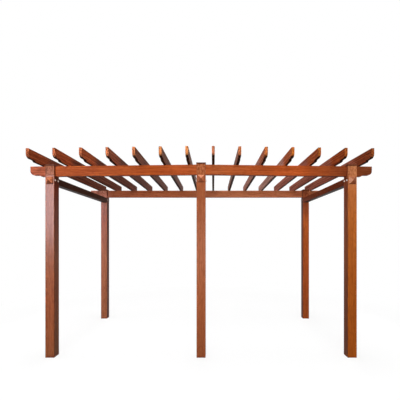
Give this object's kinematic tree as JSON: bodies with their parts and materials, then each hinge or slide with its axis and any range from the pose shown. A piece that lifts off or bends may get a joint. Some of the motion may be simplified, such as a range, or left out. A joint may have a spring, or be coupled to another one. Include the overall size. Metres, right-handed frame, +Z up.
{
  "type": "garden pergola",
  "caption": "Free-standing wood-look aluminium pergola: square posts, slotted heads holding twin beam lines, side rails and rafters with shaped ends.",
  "frame": {"origin": "on the ground, midway under the whole frame", "axes": "+X along the beams to the right seen from the three-post side, +Y from the three-post front row to the two-post back row, +Z up"},
  "size_m": [3.8268, 2.0964, 2.2693],
  "materials": {
    "post_finish": "red-brown wood-grain coating, satin gloss",
    "beam_finish": "orange-brown wood-grain coating, satin gloss",
    "rafter_finish": "red-brown wood-grain coating, satin gloss",
    "rail_finish": "dark red-brown wood-grain coating, satin gloss",
    "cap_finish": "moulded plastic with a brown wood-grain coating",
    "boss_finish": "moulded plastic with an orange-brown wood-grain coating",
    "bolt_finish": "zinc-plated steel of the bolt and screw heads, which the finish draws"
  },
  "bodies": {
    "root": {"post_front_left": "post_finish", "post_front_centre": "post_finish", "post_front_right": "post_finish", "post_back_left": "post_finish", "post_back_right": "post_finish", "post_cap_front_left": "cap_finish", "post_cap_front_centre": "cap_finish", "post_cap_front_right": "cap_finish", "post_cap_back_left": "cap_finish", "post_cap_back_right": "cap_finish", "pyramid_boss_front_left": "boss_finish", "pyramid_boss_front_centre": "boss_finish", "pyramid_boss_front_right": "boss_finish", "pyramid_boss_back_left": "boss_finish", "pyramid_boss_back_right": "boss_finish", "beam_front_left": "beam_finish", "beam_front_right": "beam_finish", "beam_back": "beam_finish", "side_rail_left": "rail_finish", "side_rail_right": "rail_finish", "rafter_01": "rafter_finish", "rafter_02": "rafter_finish", "rafter_03": "rafter_finish", "rafter_04": "rafter_finish", "rafter_05": "rafter_finish", "rafter_06": "rafter_finish", "rafter_07": "rafter_finish", "rafter_08": "rafter_finish", "rafter_09": "rafter_finish", "rafter_10": "rafter_finish", "rafter_11": "rafter_finish", "rafter_12": "rafter_finish", "rafter_13": "rafter_finish", "rafter_14": "rafter_finish"}
  },
  "joints": []
}
